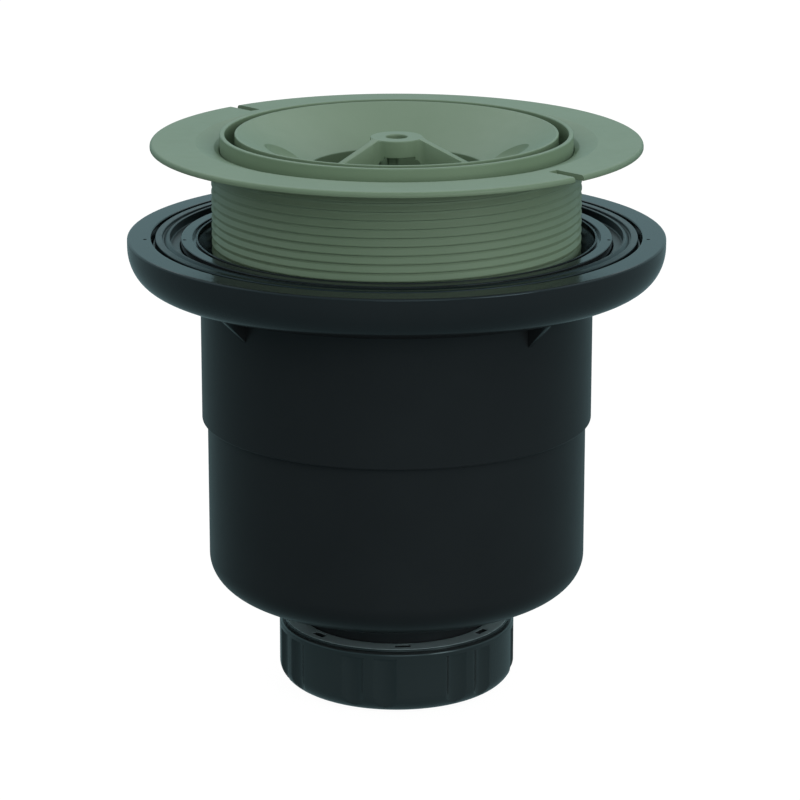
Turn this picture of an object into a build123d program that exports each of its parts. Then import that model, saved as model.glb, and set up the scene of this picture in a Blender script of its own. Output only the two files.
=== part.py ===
"""Shower waste with a vertical outlet, in millimetres.

A black pot hangs under the shower tray. A green collar screws into it from above and clamps the tray
between its flange and the pot's dish. A lift-out funnel and cup inside the collar hold the water seal,
and a compression nut under the pot grips the waste pipe.
The origin is the centre of the nut's lower face, and +Z points up along the drain's axis.
"""

from build123d import *
from math import atan2, cos, degrees, hypot, radians, sin
import os

# Clearances
screw_clearance = 0.3
rest_clearance = 0.15
seal_clearance = 0.08
stack_gap = 0.3

# Waste pipe, spigot and throat
pipe_radius = 20.0
pipe_clearance = 0.2
spigot_wall = 2.1
spigot_socket_depth = 13.2
throat_step = 1.8
spigot_chamfer = 0.5

# Outlet nut
nut_height = 16.4
nut_radius = 28.3
nut_lip_thickness = 2.6
nut_lip_clearance = 0.5
nut_round_width = 6.2
nut_round_height = 5.0
nut_ring_width = 4.3
nut_ring_step = 0.6
nut_shoulder_round = 0.7
nut_ring_chamfer = 0.3
grip_count = 7
grip_first_angle = -103.4
grip_cutter_radius = 3.9
grip_groove_depth = 1.2
grip_groove_spread = 8.0
grip_top_drop = 2.2
pocket_length = 3.75
pocket_width = 1.7
pocket_depth = 8.0
pocket_inset = 1.15
pocket_turn = 16.7

# Outlet seal and slip ring
slip_ring_height = 1.5
outlet_seal_height = 4.6
outlet_seal_taper = 0.9

# Pot
pot_wall = 2.6
pot_bottom_height = 23.7
pot_corner_width = 11.3
pot_corner_height = 9.0
pot_floor_thickness = 3.2
pot_floor_fall = 0.6
pot_step_width = 1.31
pot_step_height = 66.2
pot_lead_height = 2.4

# Dish around the pot's mouth
dish_top_height = 110.35
dish_depth = 10.6
dish_straight = 2.0
dish_curve_width = 6.8
dish_lip_width = 1.2
dish_skin = 3.2
dish_floor_thickness = 2.9
dish_rim_width = 5.6
gasket_seat_width = 7.0
dish_rim_round = 0.3
mouth_flare_width = 0.4
mouth_flare_height = 3.2
mouth_lip_width = 0.45
mouth_lip_drop = 0.35
mouth_groove_width = 0.8
mouth_groove_depth = 1.1
mouth_band_width = 2.7
gusset_count = 4
gusset_thickness = 1.6
gusset_rise = 2.35
gusset_first_angle = -139.0
pin_mark_radius = 0.45
pin_mark_depth = 0.25
pin_mark_angles = (-6.0, 186.0)

# Tray gasket
gasket_height = 3.2
gasket_web_height = 1.2
gasket_foot_width = 0.7
gasket_ridge_width = 1.7
gasket_notch_width = 0.35
gasket_notch_depth = 0.7
gasket_slope_width = 0.9
gasket_crest_width = 0.5

# Collar
thread_radius = 43.35
tray_gap = 21.15
collar_height = 49.6
collar_flange_width = 14.15
collar_flange_thickness = 1.3
collar_rim_bevel = 0.6
collar_flat_width = 8.2
collar_slope_fall = 0.9
collar_lead_width = 1.2
collar_root_drop = 2.0
collar_wall = 3.05
collar_ledge_rise = 34.6
collar_end_chamfer = 0.6
collar_slot_width = 2.8
collar_slot_angles = (-45.0, 134.0)

# Seal ring on the collar's lower end
collar_seal_height = 2.5

# Cup of the water seal
cup_ring_radius = 41.26
cup_ring_wall = 1.16
cup_ring_rise = 1.8
cup_shoulder_height = 3.2
cup_radius = 35.0
cup_wall = 1.8
cup_depth = 67.8
cup_corner_radius = 6.0
overflow_count = 6
overflow_width = 20.0
overflow_height = 7.0
overflow_drop = 0.8
o_ring_radius = 0.72
o_ring_groove_height = 1.6

# Funnel with its hub, arms and dip tube
funnel_rim_radius = 37.76
funnel_rim_land = 0.55
funnel_rim_round = 0.25
funnel_foot_height = 4.0
funnel_wall = 1.8
bowl_depth = 8.2
bowl_sag = 1.5
throat_radius = 20.6
tube_wall = 1.6
tube_taper = 1.0
tube_gap = 8.0
hub_radius = 6.18
hub_height = 4.0
hub_rise = 0.74
hub_hole_radius = 2.5
arm_count = 3
arm_thickness = 2.2
arm_first_angle = -142.0
arm_fall = 6.1
arm_bury = 1.0
arm_round = 6.0
dimple_radius = 4.8
dimple_depth = 0.7
dimple_circle_radius = 26.0
dimple_angles = (-4.0, 184.0)

# Places that follow from the sizes above, from the outlet up to the funnel
spigot_bore = pipe_radius + pipe_clearance
spigot_radius = spigot_bore + spigot_wall
nut_bore = spigot_radius + screw_clearance
nut_hole = pipe_radius + nut_lip_clearance
nut_ring_radius = nut_bore + nut_ring_width
nut_shoulder_height = nut_height - nut_ring_step
slip_ring_base = nut_lip_thickness + stack_gap
outlet_seal_base = slip_ring_base + slip_ring_height
outlet_seal_top = outlet_seal_base + outlet_seal_height
spigot_end = outlet_seal_top + stack_gap
socket_end = spigot_end + spigot_socket_depth
outlet_throat = spigot_bore - throat_step
outlet_seal_bore = pipe_radius + seal_clearance

pot_bore = thread_radius + screw_clearance
pot_upper_radius = pot_bore + pot_wall
pot_lower_radius = pot_upper_radius - pot_step_width
pot_lower_bore = pot_lower_radius - pot_wall
pot_floor_height = pot_bottom_height + pot_floor_thickness
pot_corner_top = pot_bottom_height + pot_corner_height
pot_corner_start = pot_lower_radius - pot_corner_width

mouth_radius = pot_upper_radius + mouth_flare_width
mouth_groove_inner = mouth_radius + mouth_lip_width
mouth_band_inner = mouth_groove_inner + mouth_groove_width
mouth_band_outer = mouth_band_inner + mouth_band_width
mouth_band_top = dish_top_height - mouth_lip_drop
recess_radius = mouth_band_outer + gasket_seat_width
recess_floor = dish_top_height - gasket_height
hollow_top = recess_floor - dish_floor_thickness
dish_radius = recess_radius + dish_rim_width
dish_base_height = dish_top_height - dish_depth
dish_curve_start = dish_radius - dish_curve_width
dish_curve_height = dish_depth - dish_straight

collar_under = dish_top_height + tray_gap
collar_flange_radius = thread_radius + collar_flange_width
collar_top = collar_under + collar_flange_thickness
collar_end = collar_top - collar_height
collar_bore = thread_radius - collar_wall
collar_ledge = collar_end + collar_ledge_rise
collar_seal_radius = pot_lower_bore - seal_clearance
collar_mouth = cup_ring_radius + rest_clearance
collar_flat_inner = collar_flange_radius - collar_flat_width

cup_top = collar_top + cup_ring_rise
cup_seat = collar_ledge + cup_shoulder_height
cup_end = collar_ledge - cup_depth
cup_floor = cup_end + cup_wall
cup_bore = cup_radius - cup_wall
cup_ring_bore = cup_ring_radius - cup_ring_wall
o_ring_space = 2 * (o_ring_radius + seal_clearance)
cup_groove_radius = collar_mouth - o_ring_space
cup_groove_middle = (collar_ledge + cup_seat) / 2

funnel_foot_radius = cup_ring_bore - rest_clearance
funnel_foot_bore = funnel_rim_radius - funnel_wall
funnel_foot_top = cup_seat + funnel_foot_height
funnel_groove_radius = cup_ring_bore - o_ring_space
funnel_groove_middle = (cup_seat + funnel_foot_top) / 2
bowl_rim_radius = funnel_rim_radius - funnel_rim_land
bowl_throat_height = cup_top - bowl_depth
bowl_slope = degrees(atan2(bowl_depth, bowl_rim_radius - throat_radius))
tube_radius = throat_radius + tube_wall
tube_end = cup_floor + tube_gap
hub_top = collar_top + hub_rise
hub_base = hub_top - hub_height


def radial_plane(angle):
    """An upright plane through the drain's axis, with its own x axis pointing outwards at this angle."""
    return Plane(
        origin=(0, 0, 0),
        x_dir=(cos(radians(angle)), sin(radians(angle)), 0),
        z_dir=(sin(radians(angle)), -cos(radians(angle)), 0),
    )


def turns(first_angle, count):
    """The angles of a ring of equally spaced features."""
    return [first_angle + index * 360 / count for index in range(count)]


def sagging(start, end):
    """The middle point of a curve that hangs below the chord between two points by the bowl's sag."""
    return ((start[0] + end[0]) / 2, (start[1] + end[1]) / 2 - bowl_sag)


def groove_edge(radius, groove_radius, middle):
    """The four corners of an O-ring groove cut into an outer wall, from below upwards."""
    low = middle - o_ring_groove_height / 2
    high = middle + o_ring_groove_height / 2
    return [(radius, low), (groove_radius, low), (groove_radius, high), (radius, high)]


# Pot: one moulding with the outlet spigot, the stepped barrel, the dish and its gussets
with BuildPart() as body:
    with BuildSketch(Plane.XZ):
        with BuildLine():
            Polyline(
                (spigot_bore, spigot_end),
                (spigot_radius - spigot_chamfer, spigot_end),
                (spigot_radius, spigot_end + spigot_chamfer),
                (spigot_radius, pot_bottom_height),
                (pot_corner_start, pot_bottom_height),
            )
            EllipticalCenterArc(
                (pot_corner_start, pot_corner_top),
                pot_corner_width,
                pot_corner_height,
                start_angle=270,
                arc_size=90,
            )
            Polyline(
                (pot_lower_radius, pot_corner_top),
                (pot_lower_radius, pot_step_height),
                (pot_upper_radius, pot_step_height),
                (pot_upper_radius, hollow_top),
                (dish_radius - dish_skin, hollow_top),
                (dish_curve_start - dish_lip_width, dish_base_height),
                (dish_curve_start, dish_base_height),
            )
            EllipticalCenterArc(
                (dish_curve_start, dish_base_height + dish_curve_height),
                dish_curve_width,
                dish_curve_height,
                start_angle=270,
                arc_size=90,
            )
            Polyline(
                (dish_radius, dish_top_height - dish_straight),
                (dish_radius, dish_top_height - dish_rim_round),
                (dish_radius - dish_rim_round, dish_top_height),
                (recess_radius, dish_top_height),
                (recess_radius, recess_floor),
                (mouth_band_outer, recess_floor),
                (mouth_band_outer, mouth_band_top),
                (mouth_band_inner, mouth_band_top),
                (mouth_band_inner, mouth_band_top - mouth_groove_depth),
                (mouth_groove_inner, mouth_band_top - mouth_groove_depth),
                (mouth_groove_inner, mouth_band_top),
                (mouth_radius, mouth_band_top),
                (mouth_radius, recess_floor),
                (pot_bore, recess_floor - mouth_flare_height),
                (pot_bore, pot_step_height),
                (pot_lower_bore, pot_step_height - pot_lead_height),
                (pot_lower_bore, pot_corner_top),
            )
            EllipticalCenterArc(
                (pot_corner_start, pot_corner_top),
                pot_corner_width - pot_wall,
                pot_corner_height - pot_floor_thickness,
                start_angle=270,
                arc_size=90,
            )
            Polyline(
                (pot_corner_start, pot_floor_height),
                (outlet_throat, pot_floor_height - pot_floor_fall),
                (outlet_throat, socket_end),
                (spigot_bore, socket_end),
                (spigot_bore, spigot_end),
            )
        make_face()
    revolve(axis=Axis.Z)
    # Each gusset climbs at 45 degrees from the barrel's side into the hollow behind the dish's skirt
    gusset_root = pot_upper_radius - pot_wall / 2
    gusset_top = hollow_top + dish_floor_thickness / 2
    gusset_reach = dish_curve_start - pot_upper_radius
    gusset_low = dish_base_height + gusset_rise - gusset_reach
    for angle in turns(gusset_first_angle, gusset_count):
        with BuildSketch(radial_plane(angle)):
            with BuildLine():
                Polyline(
                    (gusset_root, gusset_low),
                    (pot_upper_radius, gusset_low),
                    (pot_upper_radius + gusset_reach, gusset_low + gusset_reach),
                    (pot_upper_radius + gusset_reach, gusset_top),
                    (gusset_root, gusset_top),
                    close=True,
                )
            make_face()
        extrude(amount=gusset_thickness / 2, both=True)
    # Small round marks that the mould's pins leave on the rim and on the band
    for height, circle_radius in (
        (dish_top_height, recess_radius + dish_rim_width / 4),
        (mouth_band_top, mouth_band_outer - mouth_band_width / 3),
    ):
        with BuildSketch(Plane.XY.offset(height)):
            for angle in pin_mark_angles:
                with Locations(radial_plane(angle).x_dir * circle_radius):
                    Circle(pin_mark_radius)
        extrude(amount=-pin_mark_depth, mode=Mode.SUBTRACT)
body.part.label = "body"

# Tray gasket: a ribbed rubber ring that lies in the dish, with its ridges level with the rim
with BuildPart() as flange_gasket:
    gasket_bore = mouth_band_outer + rest_clearance
    gasket_radius = recess_radius - screw_clearance
    ridge_outer = gasket_radius - gasket_foot_width
    ridge_inner = ridge_outer - gasket_ridge_width
    slope_outer = ridge_inner - gasket_notch_width
    crest_outer = slope_outer - gasket_slope_width
    crest_inner = crest_outer - gasket_crest_width
    web_top = recess_floor + gasket_web_height
    with BuildSketch(Plane.XZ):
        with BuildLine():
            Polyline(
                (gasket_bore, recess_floor),
                (gasket_radius, recess_floor),
                (gasket_radius, web_top),
                (ridge_outer, web_top),
                (ridge_outer, dish_top_height),
                (ridge_inner, dish_top_height),
                (ridge_inner, dish_top_height - gasket_notch_depth),
                (slope_outer, dish_top_height - gasket_notch_depth),
                (crest_outer, dish_top_height),
                (crest_inner, dish_top_height),
                (crest_inner, web_top),
                (gasket_bore, web_top),
                close=True,
            )
        make_face()
    revolve(axis=Axis.Z)
flange_gasket.part.label = "flange_gasket"

# Collar: threaded barrel, thin slotted flange that slopes down to its mouth, and a ledge for the cup
with BuildPart() as collar:
    with BuildSketch(Plane.XZ):
        with BuildLine():
            Polyline(
                (collar_bore, collar_end),
                (thread_radius - collar_end_chamfer, collar_end),
                (thread_radius, collar_end + collar_end_chamfer),
                (thread_radius, collar_under - collar_root_drop),
                (collar_flat_inner, collar_under),
                (collar_flange_radius - collar_rim_bevel, collar_under),
                (collar_flange_radius, collar_under + collar_rim_bevel),
                (collar_flange_radius, collar_top),
                (collar_flat_inner, collar_top),
                (collar_mouth + collar_lead_width, collar_top - collar_slope_fall),
                (collar_mouth, collar_top - collar_slope_fall - collar_lead_width),
                (collar_mouth, collar_ledge),
                (collar_bore, collar_ledge),
                close=True,
            )
        make_face()
    revolve(axis=Axis.Z)
    # Two slots through the flange's rim take the key that turns the collar
    slot_length = collar_flange_radius
    for angle in collar_slot_angles:
        with BuildSketch(Plane.XY.offset(collar_top)):
            with Locations(radial_plane(angle).x_dir * (collar_flat_inner + slot_length / 2)):
                Rectangle(slot_length, collar_slot_width, rotation=angle)
        extrude(amount=-(collar_flange_thickness + collar_root_drop), mode=Mode.SUBTRACT)
collar.part.label = "collar"

# Seal ring under the collar's lower end, which goes up and down with the collar and doesn't turn
with BuildPart() as collar_seal:
    with BuildSketch(Plane.XZ):
        with BuildLine():
            Polyline(
                (collar_bore, collar_end - collar_seal_height),
                (collar_seal_radius - collar_end_chamfer, collar_end - collar_seal_height),
                (collar_seal_radius, collar_end - collar_seal_height + collar_end_chamfer),
                (collar_seal_radius, collar_end),
                (collar_bore, collar_end),
                close=True,
            )
        make_face()
    revolve(axis=Axis.Z)
collar_seal.part.label = "collar_seal"

# Cup: a ring that shows at the top, a grooved shoulder on the collar's ledge, and the cup with its
# overflow windows below
with BuildPart() as trap_cup:
    with BuildSketch(Plane.XZ):
        with BuildLine():
            Line((0, cup_end), (cup_radius - cup_corner_radius, cup_end))
            CenterArc(
                (cup_radius - cup_corner_radius, cup_end + cup_corner_radius),
                cup_corner_radius,
                start_angle=270,
                arc_size=90,
            )
            Polyline(
                (cup_radius, cup_end + cup_corner_radius),
                (cup_radius, collar_ledge),
                (cup_ring_radius, collar_ledge),
                *groove_edge(cup_ring_radius, cup_groove_radius, cup_groove_middle),
                (cup_ring_radius, cup_top),
                (cup_ring_bore, cup_top),
                (cup_ring_bore, cup_seat),
                (cup_bore, cup_seat),
                (cup_bore, cup_end + cup_corner_radius),
            )
            CenterArc(
                (cup_radius - cup_corner_radius, cup_end + cup_corner_radius),
                cup_corner_radius - cup_wall,
                start_angle=270,
                arc_size=90,
            )
            Polyline(
                (cup_radius - cup_corner_radius, cup_floor),
                (0, cup_floor),
                (0, cup_end),
            )
        make_face()
    revolve(axis=Axis.Z)
    window_top = collar_ledge - overflow_drop
    for angle in turns(0, overflow_count):
        with BuildSketch(radial_plane(angle + 90)):
            with Locations((0, window_top - overflow_height / 2)):
                Rectangle(overflow_width, overflow_height)
        extrude(amount=cup_radius + cup_wall, mode=Mode.SUBTRACT)
trap_cup.part.label = "trap_cup"

# O-ring between the cup's shoulder and the collar
with BuildPart() as cup_o_ring:
    with BuildSketch(Plane.XZ):
        with Locations((collar_mouth - o_ring_space / 2, cup_groove_middle)):
            Circle(o_ring_radius)
    revolve(axis=Axis.Z)
cup_o_ring.part.label = "cup_o_ring"

# Funnel: bowl, skirt with a grooved foot, and dip tube
with BuildPart() as funnel:
    under_rim = (funnel_foot_bore, cup_top - 2 * funnel_wall)
    under_throat = (tube_radius, bowl_throat_height - funnel_wall)
    with BuildSketch(Plane.XZ):
        with BuildLine():
            Line((throat_radius - tube_taper, tube_end), (throat_radius, bowl_throat_height))
            ThreePointArc(
                (throat_radius, bowl_throat_height),
                sagging((throat_radius, bowl_throat_height), (bowl_rim_radius, cup_top)),
                (bowl_rim_radius, cup_top),
            )
            Polyline(
                (bowl_rim_radius, cup_top),
                (funnel_rim_radius - funnel_rim_round, cup_top),
                (funnel_rim_radius, cup_top - funnel_rim_round),
                (funnel_rim_radius, funnel_foot_top),
                (funnel_foot_radius, funnel_foot_top),
                *reversed(groove_edge(funnel_foot_radius, funnel_groove_radius, funnel_groove_middle)),
                (funnel_foot_radius, cup_seat),
                (funnel_foot_bore, cup_seat),
                under_rim,
            )
            ThreePointArc(under_rim, sagging(under_throat, under_rim), under_throat)
            Polyline(
                under_throat,
                (tube_radius - tube_taper, tube_end),
                (throat_radius - tube_taper, tube_end),
            )
        make_face()
    revolve(axis=Axis.Z)
    # Shallow round dimples are sunk square to the bowl's slope on its two sides
    dimple_share = (dimple_circle_radius - throat_radius) / (bowl_rim_radius - throat_radius)
    dimple_height = bowl_throat_height + dimple_share * bowl_depth - bowl_sag
    for angle in dimple_angles:
        outwards = radial_plane(angle).x_dir
        upright = Vector(0, 0, cos(radians(bowl_slope))) - outwards * sin(radians(bowl_slope))
        floor_middle = outwards * dimple_circle_radius + Vector(0, 0, dimple_height) - upright * dimple_depth
        with BuildSketch(Plane(origin=floor_middle, z_dir=upright)):
            Circle(dimple_radius)
        extrude(amount=dimple_radius, mode=Mode.SUBTRACT)
funnel.part.label = "funnel"

# Hub with the cover's peg hole, on three arms that slope down to the funnel's throat
with BuildPart() as funnel_hub:
    arm_end = throat_radius + arm_bury
    arm_end_fall = arm_fall * (arm_end - hub_radius) / (throat_radius - hub_radius)
    cone_stretch = (arm_end + arm_bury - hub_radius) / (arm_end - hub_radius)
    # Seen from above, the arms leave the hub in wide rounds
    with BuildSketch(Plane.XY.offset(hub_base - arm_end_fall)) as star:
        Circle(hub_radius)
        for angle in turns(arm_first_angle, arm_count):
            with Locations(radial_plane(angle).x_dir * (arm_end / 2)):
                Rectangle(arm_end, arm_thickness, rotation=angle)
        inner_corners = [
            corner
            for corner in star.vertices()
            if hypot(corner.X, corner.Y) < arm_end / 2
        ]
        fillet(inner_corners, radius=arm_round)
    extrude(amount=hub_height + arm_end_fall)
    # Seen from the side, their tops and undersides fall away from the hub like a shallow cone
    with BuildSketch(Plane.XZ):
        with BuildLine():
            Polyline(
                (hub_hole_radius, hub_base),
                (hub_radius, hub_base),
                (arm_end + arm_bury, hub_base - arm_end_fall * cone_stretch),
                (arm_end + arm_bury, hub_top - arm_end_fall * cone_stretch),
                (hub_radius, hub_top),
                (hub_hole_radius, hub_top),
                close=True,
            )
        make_face()
    revolve(axis=Axis.Z, mode=Mode.INTERSECT)
    # The arms end face to face with the throat
    add(funnel.part, mode=Mode.SUBTRACT)
funnel_hub.part.label = "funnel_hub"

# O-ring between the funnel's foot and the cup's ring
with BuildPart() as funnel_o_ring:
    with BuildSketch(Plane.XZ):
        with Locations((cup_ring_bore - o_ring_space / 2, funnel_groove_middle)):
            Circle(o_ring_radius)
    revolve(axis=Axis.Z)
funnel_o_ring.part.label = "funnel_o_ring"

# Outlet nut: a rounded lower end with the pipe's hole, seven lobes with a slim rib between each pair,
# and moulded pockets in its upper face
with BuildPart() as outlet_nut:
    with BuildSketch(Plane.XZ):
        with BuildLine():
            Line((nut_hole, 0), (nut_radius - nut_round_width, 0))
            EllipticalCenterArc(
                (nut_radius - nut_round_width, nut_round_height),
                nut_round_width,
                nut_round_height,
                start_angle=270,
                arc_size=90,
            )
            Line(
                (nut_radius, nut_round_height),
                (nut_radius, nut_shoulder_height - nut_shoulder_round),
            )
            CenterArc(
                (nut_radius - nut_shoulder_round, nut_shoulder_height - nut_shoulder_round),
                nut_shoulder_round,
                start_angle=0,
                arc_size=90,
            )
            Polyline(
                (nut_radius - nut_shoulder_round, nut_shoulder_height),
                (nut_ring_radius, nut_shoulder_height),
                (nut_ring_radius, nut_height),
                (nut_bore + nut_ring_chamfer, nut_height),
                (nut_bore, nut_height - nut_ring_chamfer),
                (nut_bore, nut_lip_thickness),
                (nut_hole, nut_lip_thickness),
                (nut_hole, 0),
            )
        make_face()
    revolve(axis=Axis.Z)
    groove_circle = nut_radius - grip_groove_depth + grip_cutter_radius
    with BuildSketch(Plane.XY):
        for angle in turns(grip_first_angle, grip_count):
            for side in (-grip_groove_spread, grip_groove_spread):
                with Locations(radial_plane(angle + side).x_dir * groove_circle):
                    Circle(grip_cutter_radius)
    extrude(amount=nut_height - grip_top_drop, mode=Mode.SUBTRACT)
    pocket_circle = nut_bore + pocket_inset + pocket_width / 2
    with BuildSketch(Plane.XY.offset(nut_height)):
        for angle in turns(grip_first_angle + pocket_turn, grip_count):
            with Locations(radial_plane(angle).x_dir * pocket_circle):
                Rectangle(pocket_width, pocket_length, rotation=angle)
    extrude(amount=-pocket_depth, mode=Mode.SUBTRACT)
outlet_nut.part.label = "outlet_nut"

# Slip ring that lets the nut turn under the seal
with BuildPart() as slip_ring:
    with BuildSketch(Plane.XY.offset(slip_ring_base)):
        Circle(nut_bore - screw_clearance)
        Circle(nut_hole, mode=Mode.SUBTRACT)
    extrude(amount=slip_ring_height)
slip_ring.part.label = "slip_ring"

# Outlet seal: a tapered rubber ring that the nut squeezes round the pipe
with BuildPart() as outlet_seal:
    with BuildSketch(Plane.XZ):
        with BuildLine():
            Polyline(
                (outlet_seal_bore, outlet_seal_base),
                (nut_bore - screw_clearance, outlet_seal_base),
                (nut_bore - screw_clearance, outlet_seal_base + slip_ring_height),
                (nut_bore - screw_clearance - outlet_seal_taper, outlet_seal_top),
                (outlet_seal_bore, outlet_seal_top),
                close=True,
            )
        make_face()
    revolve(axis=Axis.Z)
outlet_seal.part.label = "outlet_seal"

os.makedirs("parts", exist_ok=True)
for piece in (
    body,
    flange_gasket,
    collar,
    collar_seal,
    trap_cup,
    cup_o_ring,
    funnel,
    funnel_hub,
    funnel_o_ring,
    outlet_nut,
    slip_ring,
    outlet_seal,
):
    export_step(piece.part, f"parts/{piece.part.label}.step")
    print(piece.part.label, round(piece.part.volume), "mm3")
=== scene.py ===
# %% [markdown]
# Shower waste: a black pot with a wide dish, a green screw-in collar, a lift-out funnel in a cup, and a
# compression nut under the pot.
# The CAD frame is loaded first, and every piece made here rides on one of its bodies. The pieces' sizes
# below are millimetres along the drain's axis or out from it, and MM turns them into Blender's metres.

# %% Load the frame
from math import atan2, ceil, cos, pi, radians, sin, sqrt, tan

import bmesh
import bpy
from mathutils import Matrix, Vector


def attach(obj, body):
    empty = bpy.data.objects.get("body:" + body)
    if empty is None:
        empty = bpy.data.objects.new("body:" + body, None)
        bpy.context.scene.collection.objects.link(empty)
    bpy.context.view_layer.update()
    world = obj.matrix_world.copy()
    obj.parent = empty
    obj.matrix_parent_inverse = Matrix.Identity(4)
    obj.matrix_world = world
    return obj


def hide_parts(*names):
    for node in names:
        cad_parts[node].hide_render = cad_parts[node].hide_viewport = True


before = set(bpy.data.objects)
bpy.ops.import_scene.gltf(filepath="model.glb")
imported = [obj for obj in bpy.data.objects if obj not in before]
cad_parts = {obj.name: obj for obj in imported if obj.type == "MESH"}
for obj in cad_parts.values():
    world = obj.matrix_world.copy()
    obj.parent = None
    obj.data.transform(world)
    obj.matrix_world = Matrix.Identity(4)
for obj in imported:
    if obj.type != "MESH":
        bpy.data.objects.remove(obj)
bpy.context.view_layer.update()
MM = 0.001

# %% [markdown]
# The camera stands as the photographer's did: about 0.8 m away with a long lens, looking down at the flange
# by 16 degrees. It comes first.

# %% Camera
camera_distance = 0.8
camera_height = 0.2968
camera_pitch = 15.85
camera_lens = 157.2
camera_shift = 0.00425

camera_data = bpy.data.cameras.new("camera")
camera_data.lens = camera_lens
camera_data.shift_x = camera_shift
camera_data.clip_end = 50
camera = bpy.data.objects.new("camera", camera_data)
camera.location = (0, -camera_distance, camera_height)
camera.rotation_euler = (radians(90 - camera_pitch), 0, 0)
bpy.context.scene.collection.objects.link(camera)
bpy.context.scene.camera = camera
bpy.context.scene.view_settings.view_transform = "Standard"
print("camera lens", camera_lens, "mm at", camera_distance, "m")

# %% [markdown]
# Materials and Geometry Nodes are both graphs of sockets. Wiring them by hand hides the maths, so one
# small class wraps an output socket and lets Python's own operators add the Math nodes: `1 - mask` then
# means what it says. A second class adds any other node from its type, its settings and its inputs.

# %% Wires and graphs
class Wire:
    """One output socket. Arithmetic on it adds Math nodes to its graph."""

    def __init__(self, graph, socket):
        self.graph = graph
        self.socket = socket

    def maths(self, operation, *others):
        values = dict(enumerate((self,) + others))
        return self.graph.add("ShaderNodeMath", {"operation": operation}, values)

    def turned_round(self, operation, other):
        return self.graph.add("ShaderNodeMath", {"operation": operation}, {0: other, 1: self})

    def __add__(self, other):
        return self.maths("ADD", other)

    def __sub__(self, other):
        return self.maths("SUBTRACT", other)

    def __mul__(self, other):
        return self.maths("MULTIPLY", other)

    def __truediv__(self, other):
        return self.maths("DIVIDE", other)

    def __radd__(self, other):
        return self.turned_round("ADD", other)

    def __rsub__(self, other):
        return self.turned_round("SUBTRACT", other)

    def __rmul__(self, other):
        return self.turned_round("MULTIPLY", other)

    def above(self, other):
        return self.maths("GREATER_THAN", other)

    def below(self, other):
        return self.maths("LESS_THAN", other)

    def larger(self, other):
        return self.maths("MAXIMUM", other)

    def smaller(self, other):
        return self.maths("MINIMUM", other)

    def output(self, name):
        return Wire(self.graph, self.socket.node.outputs[name])


class Graph:
    """A node tree that adds any node from its type, its settings and the values of its sockets."""

    def __init__(self, tree):
        self.tree = tree

    def add(self, kind, settings=None, inputs=None, output=0):
        node = self.tree.nodes.new(kind)
        for name, value in (settings or {}).items():
            setattr(node, name, value)
        for name, value in (inputs or {}).items():
            self.feed(node.inputs[name], value)
        return Wire(self, node.outputs[output]) if len(node.outputs) else node

    def feed(self, socket, value):
        if isinstance(value, Wire):
            self.tree.links.new(value.socket, socket)
        else:
            socket.default_value = value

    def mix_colours(self, share, first, second):
        """The first colour where the share is 0, and the second where it is 1."""
        # A Mix node has sockets for each data type: its colours are inputs 6 and 7, and output 2
        return self.add("ShaderNodeMix", {"data_type": "RGBA"}, {0: share, 6: first, 7: second}, output=2)


# %% [markdown]
# All the finishes are moulded plastic or rubber, so they share a recipe. Moulded surfaces are never
# even: a broad mottle changes the colour a little, a finer one changes the gloss, and the mould's grain
# shows as a very shallow bump. The patterns read Object coordinates, so they stay put when a piece moves.

# %% Moulded finishes
mottle_scale, flow_scale = 45.0, 260.0
mottle_low, mottle_high = 0.3, 0.7
bump_strength, dull_rise = 0.6, 0.2


def moulded(name, colour, tint, roughness, spread, grain, depth, sheen, matt_and_painted_reflection=None, mirror=0.5):
    """A moulded finish that runs from its colour to its tint, with a spread in its roughness.

    Grain is the bump's pattern scale per metre, and depth its height in metres. Sheen tints what the
    surface mirrors, and mirror is how much that is. Above a given height the face may get a lighter colour,
    a painted reflection that stands in for the light it mirrors, and the mould left that face duller, so
    its roughness rises there.
    """
    material = bpy.data.materials.new(name)
    material.use_nodes = True
    graph = Graph(material.node_tree)
    material.node_tree.nodes.clear()
    place = graph.add("ShaderNodeTexCoord", output="Object")
    mottle = graph.add("ShaderNodeTexNoise", None, {"Vector": place, "Scale": mottle_scale, "Detail": 3.0})
    flow = graph.add("ShaderNodeTexNoise", None, {"Vector": place, "Scale": flow_scale, "Detail": 2.0})
    skin = graph.add("ShaderNodeTexNoise", None, {"Vector": place, "Scale": grain, "Detail": 2.0})
    share = graph.add(
        "ShaderNodeMapRange",
        None,
        {"Value": mottle, "From Min": mottle_low, "From Max": mottle_high},
    )
    shade = graph.mix_colours(share, colour + (1,), tint + (1,))
    gloss = roughness - spread / 2 + spread * flow
    # Painted reflection: above the height the colour turns lighter to stand in for mirrored light, while
    # the higher roughness there is the face's real duller finish.
    if matt_and_painted_reflection:
        painted_reflection_colour, matt_and_reflection_height = matt_and_painted_reflection
        height = graph.add("ShaderNodeSeparateXYZ", None, {0: place}, output="Z")
        matt_and_reflection_mask = height.above(matt_and_reflection_height)
        shade = graph.mix_colours(matt_and_reflection_mask, shade, painted_reflection_colour + (1,))
        gloss = gloss + matt_and_reflection_mask * dull_rise
    bump = graph.add(
        "ShaderNodeBump",
        None,
        {"Height": skin, "Strength": bump_strength, "Distance": depth},
    )
    shader = graph.add(
        "ShaderNodeBsdfPrincipled",
        None,
        {
            "Base Color": shade,
            "Roughness": gloss,
            "Normal": bump,
            "Specular Tint": sheen + (1,),
            "Specular IOR Level": mirror,
        },
    )
    graph.add("ShaderNodeOutputMaterial", None, {"Surface": shader})
    return material


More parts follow.
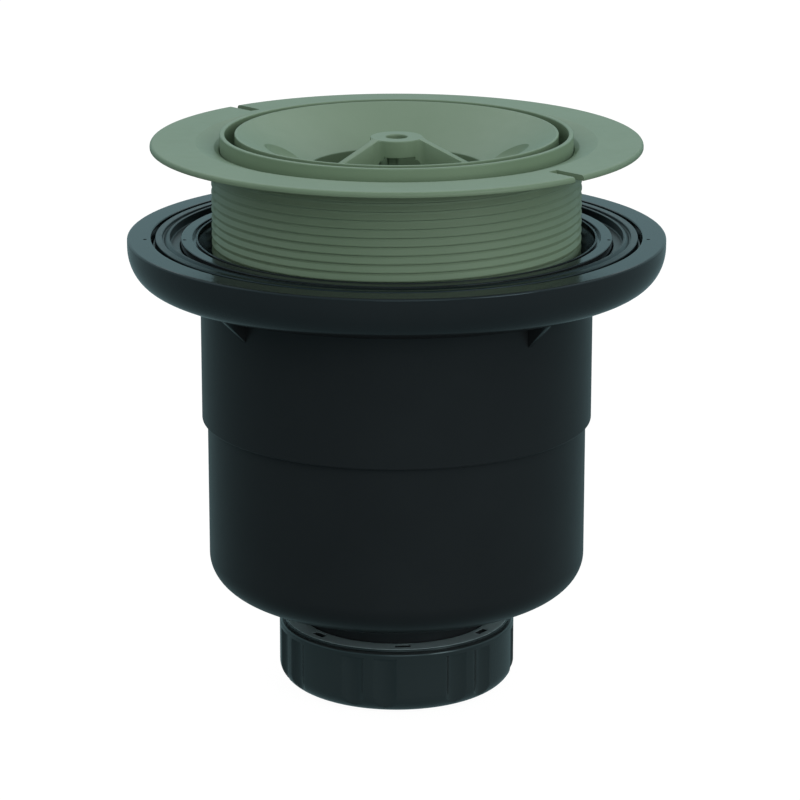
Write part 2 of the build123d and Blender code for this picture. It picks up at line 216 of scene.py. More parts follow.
black_gloss = moulded("moulded_black", (0.0165, 0.0195, 0.021), (0.0185, 0.022, 0.0235),
                      0.12, 0.05, 3500.0, 0.00002, (0.6, 0.86, 0.95), mirror=0.3)
black_barrel = moulded("barrel_black", (0.0165, 0.0195, 0.021), (0.0185, 0.022, 0.0235),
                       0.3, 0.06, 3500.0, 0.00002, (0.6, 0.86, 0.95), mirror=0.16)
# The nut's finish paints its top ring a light grey, a painted reflection that stands in for the light that
# black face mirrors.
black_satin = moulded("nut_black", (0.023, 0.029, 0.03), (0.026, 0.033, 0.034),
                      0.2, 0.06, 3500.0, 0.00003, (0.7, 0.95, 1.0), ((0.3, 0.4, 0.415), 0.0163))
green_satin = moulded("satin_green", (0.168, 0.25, 0.16), (0.18, 0.266, 0.172),
                      0.46, 0.08, 3000.0, 0.00003, (0.9, 1.0, 0.92))
black_rubber = moulded("seal_rubber", (0.0065, 0.0085, 0.0092), (0.0095, 0.012, 0.013),
                       0.34, 0.12, 2200.0, 0.00004, (0.7, 0.92, 1.0))
print("finishes:", [m.name for m in bpy.data.materials])

# %% [markdown]
# Nearly every piece is turned: one outline swept round the axis. A moulded edge is never knife-sharp,
# so an outline's corner may carry a radius, which becomes a short arc. Next to an arc goes a guard point,
# so that smooth shading bends only over the round and not across the flat beside it.

# %% Turned pieces
guard = 0.12


def rounded(corners, steps=4):
    """The points of a closed outline. A corner is (radius, height) or (radius, height, round)."""
    points = []
    count = len(corners)
    for index, corner in enumerate(corners):
        here = Vector(corner[:2])
        if len(corner) < 3:
            points.append(here)
            continue
        before = Vector(corners[index - 1][:2]) - here
        after = Vector(corners[(index + 1) % count][:2]) - here
        opening = before.angle(after)
        reach = corner[2] / tan(opening / 2)
        start = before.normalized()
        end = after.normalized()
        centre = here + (start + end).normalized() * (corner[2] / sin(opening / 2))
        if before.length > reach + guard:
            points.append(here + start * (reach + guard))
        first = here + start * reach - centre
        last = here + end * reach - centre
        sweep = first.angle(last)
        for step in range(steps + 1):
            share = step / steps
            arm = (first * sin((1 - share) * sweep) + last * sin(share * sweep)) / sin(sweep)
            points.append(centre + arm)
        if after.length > reach + guard:
            points.append(here + end * (reach + guard))
    return points


def oval(radius, height, width, tall, start, end, steps=14):
    """Outline corners along a quarter of an oval, from one angle in degrees to another."""
    angles = [radians(start + (end - start) * step / steps) for step in range(steps + 1)]
    return [(radius + width * cos(a), height + tall * sin(a)) for a in angles]


def finish_mesh(name, mesh, finish, sharp=34):
    """A closed mesh becomes an object with outward faces, smooth except at its sharp edges."""
    work = bmesh.new()
    work.from_mesh(mesh)
    bmesh.ops.remove_doubles(work, verts=work.verts, dist=1e-7)
    bmesh.ops.dissolve_degenerate(work, edges=work.edges, dist=1e-8)
    bmesh.ops.recalc_face_normals(work, faces=work.faces)
    work.to_mesh(mesh)
    work.free()
    mesh.materials.clear()
    mesh.materials.append(finish)
    for polygon in mesh.polygons:
        polygon.use_smooth = True
    mesh.set_sharp_from_angle(angle=radians(sharp))
    piece = bpy.data.objects.new(name, mesh)
    bpy.context.scene.collection.objects.link(piece)
    print(name, len(mesh.polygons), "faces")
    return piece


def finish_work(name, work, finish):
    """A bmesh in progress becomes a finished object."""
    mesh = bpy.data.meshes.new(name)
    work.to_mesh(mesh)
    work.free()
    return finish_mesh(name, mesh, finish)


def turned(name, corners, finish, columns=192, carve=None, sharp=34):
    """An outline swept round the axis. carve(radius, height, angle) may pull a point in."""
    outline = [(max(point.x, 0.0), point.y) for point in rounded(corners)]
    vertices = []
    for column in range(columns):
        angle = 2 * pi * column / columns
        for radius, height in outline:
            out = carve(radius, height, angle) if carve else radius
            vertices.append((out * cos(angle) * MM, out * sin(angle) * MM, height * MM))
    rows = len(outline)
    faces = []
    for column in range(columns):
        here = column * rows
        there = (column + 1) % columns * rows
        for row in range(rows):
            up = (row + 1) % rows
            faces.append((here + row, there + row, there + up, here + up))
    mesh = bpy.data.meshes.new(name)
    mesh.from_pydata(vertices, [], faces)
    return finish_mesh(name, mesh, finish, sharp)


def joins(piece, body, slot, *nodes):
    """The piece rides on its body and stands for the nodes it replaces. The slot is not used."""
    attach(piece, body)
    if nodes:
        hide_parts(*nodes)
    return piece


# %% [markdown]
# Some features come in rings: the pot's gussets, the funnel's arms and the pockets in the nut. A
# Geometry Nodes tree takes one copy, a count and a first angle, and sets the copies round the axis. It
# ends in Realize Instances and Set Material, because the exported model keeps only real meshes.

# %% A ring of copies
def new_tree(name, inputs):
    """A Geometry Nodes tree with named inputs, and its graph."""
    tree = bpy.data.node_groups.new(name, "GeometryNodeTree")
    for label, kind in inputs:
        tree.interface.new_socket(label, in_out="INPUT", socket_type=kind)
    tree.interface.new_socket("Geometry", in_out="OUTPUT", socket_type="NodeSocketGeometry")
    graph = Graph(tree)
    return tree, graph, graph.add("NodeGroupInput")


def grown(name, tree, values, finish, sharp=34):
    """Runs a tree on a new object, and keeps the result as a plain mesh."""
    holder = bpy.data.objects.new(name + "_nodes", bpy.data.meshes.new(name + "_nodes"))
    bpy.context.scene.collection.objects.link(holder)
    modifier = holder.modifiers.new("nodes", "NODES")
    modifier.node_group = tree
    for item in tree.interface.items_tree:
        if item.in_out == "INPUT" and item.name in values:
            modifier[item.identifier] = values[item.name]
    graph = bpy.context.evaluated_depsgraph_get()
    graph.update()
    mesh = bpy.data.meshes.new_from_object(holder.evaluated_get(graph))
    holder.modifiers.clear()
    bpy.data.objects.remove(holder)
    mesh.name = name
    return finish_mesh(name, mesh, finish, sharp)


ring_tree, ring, source = new_tree("ring_of_copies", [
    ("Copy", "NodeSocketObject"),
    ("Count", "NodeSocketInt"),
    ("First Angle", "NodeSocketFloat"),
    ("Finish", "NodeSocketMaterial"),
])
copy = ring.add("GeometryNodeObjectInfo", None, {"Object": source.output("Copy")}, output="Geometry")
spots = ring.add("GeometryNodePoints", None, {"Count": source.output("Count")})
order = ring.add("GeometryNodeInputIndex")
turn = order * (2 * pi) / source.output("Count") + source.output("First Angle")
pose = ring.add("ShaderNodeCombineXYZ", None, {"Z": turn})
placed = ring.add(
    "GeometryNodeInstanceOnPoints",
    None,
    {"Points": spots, "Instance": copy, "Rotation": pose},
)
real = ring.add("GeometryNodeRealizeInstances", None, {"Geometry": placed})
done = ring.add("GeometryNodeSetMaterial", None, {"Geometry": real, "Material": source.output("Finish")})
ring.add("NodeGroupOutput", None, {"Geometry": done})


def ring_of(name, copy, count, first_angle, finish):
    """Copies of a piece round the axis, as one piece. The single copy is removed."""
    values = {"Copy": copy, "Count": count, "First Angle": radians(first_angle), "Finish": finish}
    piece = grown(name, ring_tree, values, finish)
    bpy.data.objects.remove(copy)
    return piece


def slab(name, outline, thickness, finish, edge=0.0):
    """A flat plate in the XZ plane, centred on it, from an outline in millimetres, with rounded edges."""
    work = bmesh.new()
    near = [work.verts.new((x * MM, -thickness / 2 * MM, z * MM)) for x, z in outline]
    face = work.faces.new(near)
    grown_up = bmesh.ops.extrude_face_region(work, geom=[face])
    moved = [item for item in grown_up["geom"] if isinstance(item, bmesh.types.BMVert)]
    bmesh.ops.translate(work, verts=moved, vec=(0, thickness * MM, 0))
    if edge:
        bmesh.ops.bevel(work, geom=work.edges[:], offset=edge * MM, segments=2, affect="EDGES", profile=0.5)
    return finish_work(name, work, finish)


def cut(piece, cutter, sharp=34):
    """Cuts the cutter's shape out of the piece and removes the cutter."""
    modifier = piece.modifiers.new("cut", "BOOLEAN")
    modifier.operation = "DIFFERENCE"
    modifier.solver = "EXACT"
    modifier.object = cutter
    graph = bpy.context.evaluated_depsgraph_get()
    graph.update()
    mesh = bpy.data.meshes.new_from_object(piece.evaluated_get(graph))
    name, finish = piece.name, piece.data.materials[0]
    bpy.data.objects.remove(piece)
    bpy.data.objects.remove(cutter)
    mesh.name = name
    return finish_mesh(name, mesh, finish, sharp)


print("tools for rings and cuts are ready")

# %% [markdown]
# A screw thread follows a rule: its radius depends only on how far round and how far up a point is. So a
# flat grid of points is bent round the axis, and its rows climb one pitch for each turn, which keeps the
# thread's edges on rows of the mesh. The shares say how much of a pitch the crest, the long upper flank
# and the steep lower flank take. Near the mould's parting line the real thread's root is filled up a
# little, and the tree does that too.

# %% The thread's tree
rows_per_pitch, closing_rows = 8, 4
crest_share, flank_share, rise_share = 1 / 8, 4 / 8, 1 / 8

thread_tree, wind, source = new_tree("thread", [
    ("Radius", "NodeSocketFloat"),
    ("Depth", "NodeSocketFloat"),
    ("Pitch", "NodeSocketFloat"),
    ("Low", "NodeSocketFloat"),
    ("High", "NodeSocketFloat"),
    ("Back", "NodeSocketFloat"),
    ("Parting", "NodeSocketFloat"),
    ("Filled", "NodeSocketFloat"),
    ("Columns", "NodeSocketInt"),
    ("Rows", "NodeSocketInt"),
    ("Finish", "NodeSocketMaterial"),
])
columns = source.output("Columns") + 1
rows = source.output("Rows")
sheet = wind.add(
    "GeometryNodeMeshGrid",
    None,
    {"Size X": 1.0, "Size Y": 1.0, "Vertices X": columns, "Vertices Y": rows},
)
spot = wind.add("ShaderNodeSeparateXYZ", None, {0: wind.add("GeometryNodeInputPosition")})
share = spot.output("X") + 0.5
row = ((spot.output("Y") + 0.5) * (rows - 1)).maths("ROUND")
pitch = source.output("Pitch")
low = source.output("Low")
high = source.output("High")
climb = low + pitch * ((row - 1) / rows_per_pitch - 1 + share)
height = climb.larger(low).smaller(high)
phase = ((height - low) / pitch - share).maths("FRACT")
upper_flank = 1 - ((phase - crest_share) / flank_share).larger(0).smaller(1)
lower_flank = ((phase - (1 - rise_share)) / rise_share).larger(0)
side = (share * (2 * pi)).maths("COSINE").maths("ABSOLUTE")
filled = side.above(source.output("Parting")) * source.output("Filled")
crest = upper_flank.larger(lower_flank).larger(filled)
radius = source.output("Radius") - source.output("Depth") * (1 - crest)
at_start = row.below(0.5)
at_end = row.above(rows - 1.5)
at_top = row.above(rows - 2.5) - at_end
behind = at_start + at_end + at_top
radius = radius * (1 - behind) + source.output("Back") * behind
height = height * (1 - behind) + high * at_top + low * (at_start + at_end)
around = share * (2 * pi)
place = wind.add(
    "ShaderNodeCombineXYZ",
    None,
    {"X": radius * around.maths("COSINE"), "Y": radius * around.maths("SINE"), "Z": height},
)
bent = wind.add("GeometryNodeSetPosition", None, {"Geometry": sheet, "Position": place})
closed = wind.add("GeometryNodeMergeByDistance", None, {"Geometry": bent, "Distance": 0.000002})
real = wind.add("GeometryNodeRealizeInstances", None, {"Geometry": closed})
done = wind.add("GeometryNodeSetMaterial", None, {"Geometry": real, "Material": source.output("Finish")})
wind.add("NodeGroupOutput", None, {"Geometry": done})


def thread(name, finish, radius, depth, pitch, low, high, back, parting=0.0, filled=0.0, columns=288):
    """A screw thread as a closed sleeve. Parting is half the parting band's angle in degrees."""
    turns = (high - low) / pitch
    return grown(name, thread_tree, {
        "Radius": radius * MM,
        "Depth": depth * MM,
        "Pitch": pitch * MM,
        "Low": low * MM,
        "High": high * MM,
        "Back": back * MM,
        "Parting": cos(radians(parting)),
        "Filled": filled,
        "Columns": columns,
        "Rows": ceil((turns + 1) * rows_per_pitch) + closing_rows,
        "Finish": finish,
    }, finish, sharp=20)


print("the thread's tree has", len(thread_tree.nodes), "nodes")

# %% [markdown]
# The pot is one moulding: a spigot for the pipe, a stepped barrel, and a dish with a rolled side and a
# groove for the tray gasket. On a glossy black part the eye sees little but the highlights along its
# edges, so each edge of the outline has the small round that the mould gives it. A small round mark from
# a mould pin sits on the rim and on the mouth's band at each side. The barrel is duller than the dish.

# %% Pot
spigot_bore, spigot_radius, spigot_end = 20.2, 22.3, 9.3
socket_end, throat = 22.5, 18.4
pot_bottom, pot_lower, pot_upper = 23.7, 44.94, 46.25
corner_wide, corner_tall = 11.3, 9.0
corner_start, corner_top = pot_lower - corner_wide, pot_bottom + corner_tall
step_height, pot_bore, lower_bore, lead = 66.2, 43.65, 42.34, 2.4
dish_radius, dish_top, dish_base = 63.2, 110.35, 99.75
curve_wide, curve_tall = 6.8, 8.6
curve_start = dish_radius - curve_wide
recess, recess_floor, hollow_top = 57.6, 107.15, 104.25
mouth, groove_in, band_in, band_out = 46.65, 47.1, 47.9, 50.6
band_top, groove_floor, flare_top, flare_end = 110.0, 108.9, 108.6, 101.6
wall, corner_wall, floor_top, fall = 2.6, 3.2, 26.9, 0.6
hollow_radius, lip_start = dish_radius - 3.2, curve_start - 1.2

pot = turned("pot_shell", [
    (spigot_bore, spigot_end, 0.3),
    (spigot_radius, spigot_end, 0.4),
    (spigot_radius, pot_bottom, 0.8),
    *oval(corner_start, corner_top, corner_wide, corner_tall, 270, 360, 20),
    (pot_lower, step_height, 0.25),
    (pot_upper, step_height, 0.35),
    (pot_upper, hollow_top, 0.8),
    (hollow_radius, hollow_top, 1.0),
    (lip_start, dish_base, 0.35),
    *oval(curve_start, dish_base + curve_tall, curve_wide, curve_tall, 270, 360, 20),
    (dish_radius, dish_top, 0.45),
    (recess, dish_top, 0.3),
    (recess, recess_floor, 0.2),
    (band_out, recess_floor, 0.2),
    (band_out, band_top, 0.25),
    (band_in, band_top, 0.2),
    (band_in, groove_floor),
    (groove_in, groove_floor),
    (groove_in, band_top, 0.15),
    (mouth, band_top, 0.15),
    (mouth, flare_top, 1.0),
    (pot_bore, flare_end, 0.8),
    (pot_bore, step_height, 0.8),
    (lower_bore, step_height - lead, 0.8),
    *oval(corner_start, corner_top, corner_wide - wall, corner_tall - corner_wall, 360, 270),
    (throat, floor_top - fall, 0.8),
    (throat, socket_end, 0.4),
    (spigot_bore, socket_end, 0.2),
], black_gloss, columns=224)

# %% Pin marks and finish of the pot
mark_radius, mark_depth, rim_mark, band_mark, mark_angles = 0.45, 0.25, 59.0, 49.8, (-6, 186)
work = bmesh.new()
for mark_angle in mark_angles:
    for place, top in ((rim_mark, dish_top), (band_mark, band_top)):
        pin = bmesh.ops.create_cone(work, cap_ends=True, segments=24, radius1=mark_radius * MM,
                                    radius2=mark_radius * MM, depth=2 * mark_depth * MM)
        out = Vector((cos(radians(mark_angle)), sin(radians(mark_angle)), 0)) * place * MM
        bmesh.ops.translate(work, verts=pin["verts"], vec=out + Vector((0, 0, top * MM)))
pot = cut(pot, finish_work("pin_marks", work, black_gloss))
pot.data.materials.append(black_barrel)
for polygon in pot.data.polygons:
    polygon.material_index = int(polygon.center.z < dish_base * MM)
joins(pot, "pot", "black_gloss", "body")

# %% [markdown]
# Four gussets brace the dish from below, and only their tips show in the photograph. One plate with
# rounded edges is drawn, and the ring tree sets four copies of it round the barrel.

# %% Gussets
gusset_count, gusset_first, gusset_tip, gusset_thick = 4, -139, 91.95, 1.6
gusset_inset, gusset_bury = 1.6, 1.0
root = pot_upper - wall / 2
reach = curve_start - gusset_inset - pot_upper
gusset = slab("gusset", [
    (root, gusset_tip),
    (pot_upper, gusset_tip),
    (pot_upper + reach, gusset_tip + reach),
    (pot_upper + reach, hollow_top + gusset_bury),
    (root, hollow_top + gusset_bury),
], gusset_thick, black_gloss, edge=0.2)
gussets = ring_of("pot_gussets", gusset, gusset_count, gusset_first, black_gloss)
joins(gussets, "pot", "black_gloss")

# %% [markdown]
# The tray gasket is a rubber ring with two ridges, one flat and one that slopes down into a notch. It is
# turned like the rest, with softer rounds, because rubber leaves its mould with no crisp edge.

# %% Tray gasket
gasket_in, gasket_out, web = 50.75, 57.3, 108.35
ridge_out, notch_out, notch_in, slope_out, ridge_in = 56.6, 54.9, 54.55, 53.65, 53.15
notch_floor = dish_top - 0.7
gasket = turned("tray_gasket", [
    (gasket_in, recess_floor, 0.2),
    (gasket_out, recess_floor, 0.2),
    (gasket_out, web, 0.25),
    (ridge_out, web, 0.2),
    (ridge_out, dish_top, 0.3),
    (notch_out, dish_top, 0.25),
    (notch_out, notch_floor, 0.1),
    (notch_in, notch_floor, 0.1),
    (slope_out, dish_top, 0.3),
    (ridge_in, dish_top, 0.2),
    (ridge_in, web, 0.25),
    (gasket_in, web, 0.25),
], black_rubber, columns=224)
joins(gasket, "pot", "black_rubber", "flange_gasket")

# %% [markdown]
# The collar is a threaded sleeve with a thin flange. Its core is turned, with the key slots cut through
# the rim, and the thread is a sleeve of its own from the thread's tree, so that both stay simple. The
# pot's mouth gets its own thread from the same tree, with a negative depth that turns it inwards.

# %% Collar
thread_radius, thread_depth, thread_pitch = 43.35, 0.5, 2.0
collar_end, collar_top, flange, rim_base = 83.2, 132.8, 57.5, 131.5
collar_bore, ledge, collar_mouth, mouth_low_edge = 40.3, 117.8, 41.41, 130.7
flat_start, slope_start, slope_end, slope_low = 49.3, 46.9, 42.6, 131.5
thread_lap = 0.02
core = thread_radius - thread_depth - thread_lap
core_top = 129.4

collar_core = turned("collar_shell", [
    (collar_bore, collar_end, 0.3),
    (core, collar_end, 0.6),
    (core, core_top, 1.0),
    (flat_start, rim_base, 3.0),
    (flange, rim_base, 0.2),
    (flange, collar_top, 0.75),
    (slope_start, collar_top, 0.8),
    (slope_end, slope_low, 0.6),
    (collar_mouth, mouth_low_edge, 0.4),
    (collar_mouth, ledge, 0.2),
    (collar_bore, ledge, 0.3),
], green_satin, columns=224)
slot_length, slot_width, slot_angles = 20.0, 2.8, (-45, 134)
slot_low, slot_high = 127, 136
for slot_angle in slot_angles:
    slot_cutter = slab("slot_cutter", [
        (flat_start, slot_low),
        (flat_start + slot_length, slot_low),
        (flat_start + slot_length, slot_high),
        (flat_start, slot_high),
    ], slot_width, green_satin)
    collar_core = cut(collar_core, ring_of("slot", slot_cutter, 1, slot_angle, green_satin))
joins(collar_core, "collar_insert", "green_satin", "collar")

# %% Threads of the collar and of the pot's mouth
thread_back, thread_start, thread_top = 0.8, collar_end + 0.6, 129.6
collar_thread = thread("collar_thread", green_satin, thread_radius, thread_depth, thread_pitch,
                       thread_start, thread_top, core - thread_back, parting=12.0, filled=0.55)
joins(collar_thread, "collar_insert", "green_satin")
mouth_crest, mouth_depth, mouth_low, mouth_high = thread_radius + 0.05, 0.3, 76.0, 101.0
pot_thread = thread("pot_thread", black_gloss, mouth_crest, -mouth_depth, thread_pitch,
                    mouth_low, mouth_high, pot_bore + thread_back, columns=240)
joins(pot_thread, "pot", "black_gloss")

# %% [markdown]
# The cup's ring stands inside the collar, with a narrow dark gap on both sides. The cup hangs from it,
# and has overflow windows under the ring. They are cut by bars laid right across the cup.

# %% Cup
ring_out, ring_in, ring_top = 41.26, 40.1, 134.6
seat, cup_radius, cup_in, cup_end, cup_floor = 121.0, 35.0, 33.2, 50.0, 51.8
cup_corner, cup_wall, groove_wall, groove_low, groove_high = 6.0, 1.8, 39.81, 118.6, 120.2
inner_corner = cup_corner - cup_wall
window_count, window_width, window_low, window_high, bar_reach = 3, 20.0, 110, 117, 60

cup = turned("cup_shell", [
    (0.0, cup_end),
    *oval(cup_radius - cup_corner, cup_end + cup_corner, cup_corner, cup_corner, 270, 360, 10),
    (cup_radius, ledge, 0.5),
    (ring_out, ledge, 0.3),
    (ring_out, groove_low),
    (groove_wall, groove_low),
    (groove_wall, groove_high),
    (ring_out, groove_high),
    (ring_out, ring_top, 0.3),
    (ring_in, ring_top, 0.3),
    (ring_in, seat, 0.2),
    (cup_in, seat, 0.3),
    *oval(cup_radius - cup_corner, cup_end + cup_corner, inner_corner, inner_corner, 360, 270, 10),
    (0.0, cup_floor),
], green_satin)
window_bar = slab("window_bar", [
    (-bar_reach, window_low),
    (bar_reach, window_low),
    (bar_reach, window_high),
    (-bar_reach, window_high),
], window_width, green_satin)
window_bars = ring_of("window_bars", window_bar, window_count, 0, green_satin)
cup = cut(cup, window_bars)
joins(cup, "collar_insert", "green_satin", "trap_cup")

# %% [markdown]
# The funnel is a straight cone down to the dip tube. A thumb dimple at each side helps to lift it out.
# Each dimple is a piece of a ball cut into the cone, so it shows as a lens with a crisp edge.

# %% Funnel
rim, rim_land, throat_r, bowl_low = 37.76, 0.55, 20.6, 126.4
foot_out, foot_in, foot_top, foot_bowl = 39.95, 35.96, 125.0, 131.0
foot_groove, foot_groove_low, foot_groove_high = 38.5, 122.2, 123.8
tube_end, tube_taper, tube_wall, bowl_wall = 59.8, 1.0, 1.6, 1.8
bowl_edge = rim - rim_land

funnel = turned("funnel_shell", [
    (throat_r - tube_taper, tube_end, 0.3),
    (throat_r, bowl_low, 0.3),
    (bowl_edge, ring_top, 0.3),
    (rim, ring_top, 0.2),
    (rim, foot_top),
    (foot_out, foot_top, 0.2),
    (foot_out, foot_groove_high),
    (foot_groove, foot_groove_high),
    (foot_groove, foot_groove_low),
    (foot_out, foot_groove_low),
    (foot_out, seat, 0.2),
    (foot_in, seat),
    (foot_in, foot_bowl),
    (throat_r + tube_wall, bowl_low - bowl_wall),
    (throat_r + tube_wall - tube_taper, tube_end, 0.3),
], green_satin, columns=224)

# %% Dimples
dimple_radius, dimple_depth, dimple_place, dimple_count = 4.9, 1.7, 26.5, 2
dimple_ball = (dimple_radius ** 2 + dimple_depth ** 2) / (2 * dimple_depth)
slope = atan2(ring_top - bowl_low, bowl_edge - throat_r)
dimple_height = bowl_low + (dimple_place - throat_r) * tan(slope)
lift = dimple_ball - dimple_depth
middle = (dimple_place - lift * sin(slope), 0, dimple_height + lift * cos(slope))
work = bmesh.new()
bmesh.ops.create_uvsphere(work, u_segments=96, v_segments=96, radius=dimple_ball * MM)
bmesh.ops.translate(work, verts=work.verts, vec=Vector(middle) * MM)
dimple = finish_work("dimple", work, green_satin)
funnel = cut(funnel, ring_of("dimples", dimple, dimple_count, 0, green_satin), sharp=24)
joins(funnel, "collar_insert", "green_satin", "funnel")

# %% [markdown]
# A hub with a hole stands in the middle of the funnel, on three deep arms that slope down to the throat.
# The hub is turned and the arms are one plate in the ring tree. Then a round tool cuts the arms away
# under the hub, which leaves an arch between them.

# %% Hub
hub_radius, hub_hole, hub_top, hub_base = 6.18, 2.5, 133.54, 129.54
hub = turned("hub_disc", [
    (hub_hole, hub_base, 0.2),
    (hub_radius, hub_base, 0.2),
    (hub_radius, hub_top, 0.25),
    (hub_hole, hub_top, 0.3),
], green_satin, columns=96)
joins(hub, "collar_insert", "green_satin", "funnel_hub")

# %% Arms
arm_count, arm_first = 3, -142
arm_thick, arm_drop, arm_fall, arm_bury = 2.2, 0.05, 6.1, 0.9
arm_in, arm_end, arm_deep = 2.8, throat_r + arm_bury, 8.0
arch_radius, arch_round, arch_low = 6.75, 2.0, 110.0


def arm_line(radius, below=0.0):
    """The height of a line that runs some way below the arms' upper edge."""
    slope_down = arm_fall / (throat_r - hub_radius)
    return hub_top - arm_drop - below - max(radius - hub_radius, 0) * slope_down


def arch_tool():
    """The round space under the hub, which is cut out of the arms and their corners."""
    return turned("arch_tool", [
        (0.0, arch_low),
        (arch_radius, arch_low),
        (arch_radius, hub_base, arch_round),
        (0.0, hub_base),
    ], green_satin, columns=96)


arm = slab("arm", [
    (arm_in, arm_line(arm_in)),
    (arm_in, arm_line(arm_in, arm_deep)),
    (arm_end, arm_line(arm_end, arm_deep)),
    (arm_end, arm_line(arm_end)),
    (hub_radius, arm_line(hub_radius)),
], arm_thick, green_satin, edge=0.12)
arms = cut(ring_of("funnel_arms", arm, arm_count, arm_first, green_satin), arch_tool())
joins(arms, "collar_insert", "green_satin")

# %% [markdown]
# A moulded corner is never sharp inside either. Between the hub and each side of an arm stands a small
# column whose outer face is a hollow arc that touches both. The rest of its outline is buried in them.

# %% Rounds between hub and arms
corner_round, corner_steps = 2.2, 8
top_lap, foot_lap = 0.02, 0.1
hub_lap, back_lap, arm_lap = 0.93, 0.85, 0.8
flank = arm_thick / 2
centre_y = flank + corner_round
centre_x = sqrt((hub_radius + corner_round) ** 2 - centre_y ** 2)
touch = atan2(centre_y, centre_x)

sweep = [-pi / 2 - (pi / 2 - touch) * step / corner_steps for step in range(corner_steps + 1)]
outline = [(centre_x + corner_round * cos(a), centre_y + corner_round * sin(a)) for a in sweep]
outline.append((hub_radius * hub_lap * cos(touch), hub_radius * hub_lap * sin(touch)))
outline.append((hub_radius * back_lap, flank * arm_lap))
outline.append((centre_x, flank * arm_lap))

work = bmesh.new()
for side in (-1, 1):
    low, high = [], []
    for x, y in outline:
        out = sqrt(x * x + y * y)
        foot = arm_line(out, arm_deep - foot_lap)
        low.append(work.verts.new(Vector((x, side * y, foot)) * MM))
        high.append(work.verts.new(Vector((x, side * y, arm_line(out) - top_lap)) * MM))
    work.faces.new(low)
    work.faces.new(high)
    for index in range(len(outline)):
        ahead = (index + 1) % len(outline)
        work.faces.new((low[index], low[ahead], high[ahead], high[index]))
column = finish_work("corner_rounds", work, green_satin)
corner_rounds = cut(ring_of("hub_rounds", column, arm_count, arm_first, green_satin), arch_tool())
joins(corner_rounds, "collar_insert", "green_satin")

# %% [markdown]
# The nut's grip is seven pairs of scallops with a slim rib in each pair and a smooth lobe between the
# pairs. The outline is turned as before, and each point is then pulled in to the scallop's surface, with
# rows close together where the scallops end. The pockets in its upper face are cut by a ring of blocks.

# %% Nut
nut_height, nut_radius, nut_lip, nut_hole, nut_bore = 16.4, 28.3, 2.6, 20.5, 22.6
round_wide, round_tall, ring_edge, shoulder = 6.2, 5.0, 26.9, 15.8
grip_count, grip_first, grip_spread, grip_top = 7, radians(-103.4), radians(8.0), 14.2
scallop, scallop_depth = 3.9, 1.2
scallop_ring = nut_radius - scallop_depth + scallop
shoulder_round, row_count, row_gap, row_step = 0.7, 4, 0.5, 0.12


def grip(radius, height, angle):
    """Pulls a point of the nut's side in to the nearer scallop's surface."""
    if radius < ring_edge or height > grip_top:
        return radius
    pitch_angle = 2 * pi / grip_count
    away = (angle - grip_first + pitch_angle / 2) % pitch_angle - pitch_angle / 2
    offset = abs(away) - grip_spread
    across = scallop_ring * sin(offset)
    if abs(across) >= scallop:
        return radius
    reach = scallop_ring * cos(offset) - sqrt(scallop * scallop - across * across)
    return min(radius, reach)


shoulder_in, grip_tall = nut_radius - shoulder_round, grip_top - round_tall
side_rows = [(nut_radius, round_tall + grip_tall * step / row_count) for step in range(1, row_count)]
nut = turned("outlet_nut_shell", [
    (nut_hole, 0.0, 0.3),
    *oval(nut_radius - round_wide, round_tall, round_wide, round_tall, 270, 360, 16),
    *side_rows,
    (nut_radius, grip_top - row_gap),
    (nut_radius, grip_top),
    (nut_radius, grip_top + row_step),
    (nut_radius, shoulder - shoulder_round),
    *oval(shoulder_in, shoulder - shoulder_round, shoulder_round, shoulder_round, 10, 80, 4),
    (shoulder_in, shoulder),
    (ring_edge, shoulder, 0.15),
    (ring_edge, nut_height, 0.15),
    (nut_bore, nut_height, 0.3),
    (nut_bore, nut_lip, 0.2),
    (nut_hole, nut_lip, 0.2),
], black_satin, columns=504, carve=grip, sharp=28)

# %% The nut's pockets
pocket_wide, pocket_long, pocket_deep, pocket_place, pocket_first = 1.7, 3.75, 8.0, 24.6, -86.7
pocket_in, pocket_out = pocket_place - pocket_wide / 2, pocket_place + pocket_wide / 2
pocket_floor, pocket_top = nut_height - pocket_deep, nut_height + 2
pocket = slab("pocket", [
    (pocket_in, pocket_floor),
    (pocket_out, pocket_floor),
    (pocket_out, pocket_top),
    (pocket_in, pocket_top),
], pocket_long, black_satin)
pockets = ring_of("pocket_cutters", pocket, grip_count, pocket_first, black_satin)
nut = cut(nut, pockets)
joins(nut, "nut", "black_gloss", "outlet_nut")

# %% [markdown]
# The seals and rings that stay plain keep their CAD shape and only get their finish.

# %% Finishes on the carried-over rings
ring_finishes = {
    "collar_seal": black_rubber,
    "cup_o_ring": black_rubber,
    "funnel_o_ring": black_rubber,
    "outlet_seal": black_rubber,
    "slip_ring": black_gloss,
}
for node, finish in ring_finishes.items():
    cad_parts[node].data.materials.clear()
    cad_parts[node].data.materials.append(finish)
print("carried over:", [n for n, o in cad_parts.items() if not o.hide_render])

# %% [markdown]
# The floor is plain and pale. It is lit like the rest, so it keeps the drain's soft shadow, and a light of
# its own that only the camera sees lifts it to white. In reflections the floor has just a dim, cool glow,
# so the black pot mirrors a dim floor, as it does in the photograph.

# %% Floor
floor_size, floor_drop = 8.0, 0.0002
floor_grey = (0.09, 0.09, 0.09, 1)
floor_lift, mirrored_lift = 0.97, 0.26
white, cool_tone = (1, 1, 1, 1), (0.6, 0.94, 1, 1)

mesh = bpy.data.meshes.new("floor")
half = floor_size / 2
corners = [(-half, -half, 0), (half, -half, 0), (half, half, 0), (-half, half, 0)]
mesh.from_pydata(corners, [], [(0, 1, 2, 3)])
floor = bpy.data.objects.new("floor", mesh)
floor.location.z = -floor_drop
bpy.context.scene.collection.objects.link(floor)

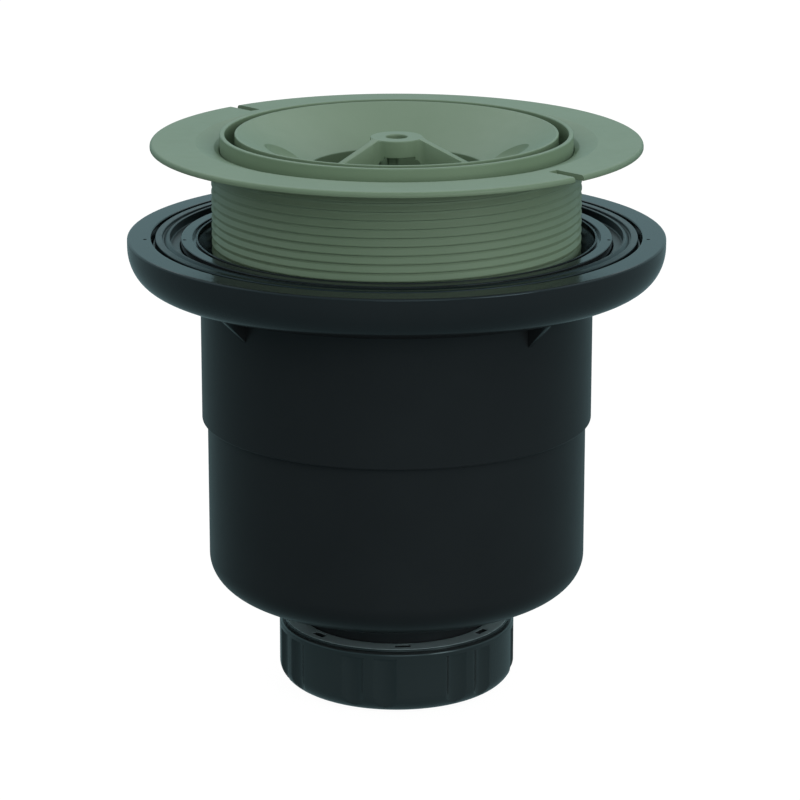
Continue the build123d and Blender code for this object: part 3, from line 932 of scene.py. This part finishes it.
paper = bpy.data.materials.new("pale_paper")
paper.use_nodes = True
paper.node_tree.nodes.clear()
graph = Graph(paper.node_tree)
path = graph.add("ShaderNodeLightPath", output="Is Camera Ray")
mirrored = path.output("Is Glossy Ray").larger(path.output("Is Transmission Ray"))
tone = graph.mix_colours(mirrored, white, cool_tone)
strength = path * floor_lift + mirrored * mirrored_lift
paint = graph.add("ShaderNodeBsdfDiffuse", None, {"Color": floor_grey})
glow = graph.add("ShaderNodeEmission", None, {"Color": tone, "Strength": strength})
lit = graph.add("ShaderNodeAddShader", None, {0: paint, 1: glow})
surface = graph.add("ShaderNodeMixShader", None, {0: mirrored, 1: lit, 2: glow})
graph.add("ShaderNodeOutputMaterial", None, {"Surface": surface})
mesh.materials.append(paper)
print("floor", floor_size, "m wide")

# %% [markdown]
# The world lights the drain from all sides at a plain level. The camera sees it white, and the black
# plastic mirrors it a little cool, which gives the dish's flat rim its tone.

# %% World
world_level = 0.54
world = bpy.data.worlds.new("studio")
bpy.context.scene.world = world
world.use_nodes = True
world.node_tree.nodes.clear()
graph = Graph(world.node_tree)
path = graph.add("ShaderNodeLightPath", output="Is Camera Ray")
tone = graph.mix_colours(path.output("Is Glossy Ray"), white, cool_tone)
strength = world_level + (1 - world_level) * path
back = graph.add("ShaderNodeBackground", None, {"Color": tone, "Strength": strength})
graph.add("ShaderNodeOutputWorld", None, {"Surface": back})
print("world level", world_level)

# %% [markdown]
# Soft boxes light the drain from behind, from the front and from both sides, as in a product studio. Large
# lamps give the green plastic even light, and their edges draw the long soft highlights on the black pot.

# %% Lamps
def soft_box(name, place, target, wide, tall, power):
    """A rectangular lamp that faces its target."""
    light = bpy.data.lights.new(name, "AREA")
    light.shape = "RECTANGLE"
    light.size, light.size_y = wide, tall
    light.energy = power
    lamp = bpy.data.objects.new(name, light)
    lamp.location = place
    lamp.rotation_euler = (Vector(target) - Vector(place)).to_track_quat("-Z", "Y").to_euler()
    bpy.context.scene.collection.objects.link(lamp)
    print(name, power, "W")


drain_middle = (0, 0, 0.07)
soft_boxes = {
    "top_back": ((0.0, 0.95, 1.05), 1.2, 0.8, 3.7),
    "front_high": ((0.0, -1.2, 0.95), 0.9, 0.6, 0.7),
    "front_low": ((0.2, -1.5, 0.34), 0.9, 0.5, 1.95),
    "right_high": ((1.1, 0.0, 0.9), 0.8, 0.8, 1.0),
    "left_high": ((-1.1, 0.0, 0.9), 0.8, 0.8, 1.0),
    "right_front": ((1.0, -1.0, 0.45), 0.6, 0.6, 4.0),
}
for name, (place, wide, tall, power) in soft_boxes.items():
    soft_box(name, place, drain_middle, wide, tall, power)
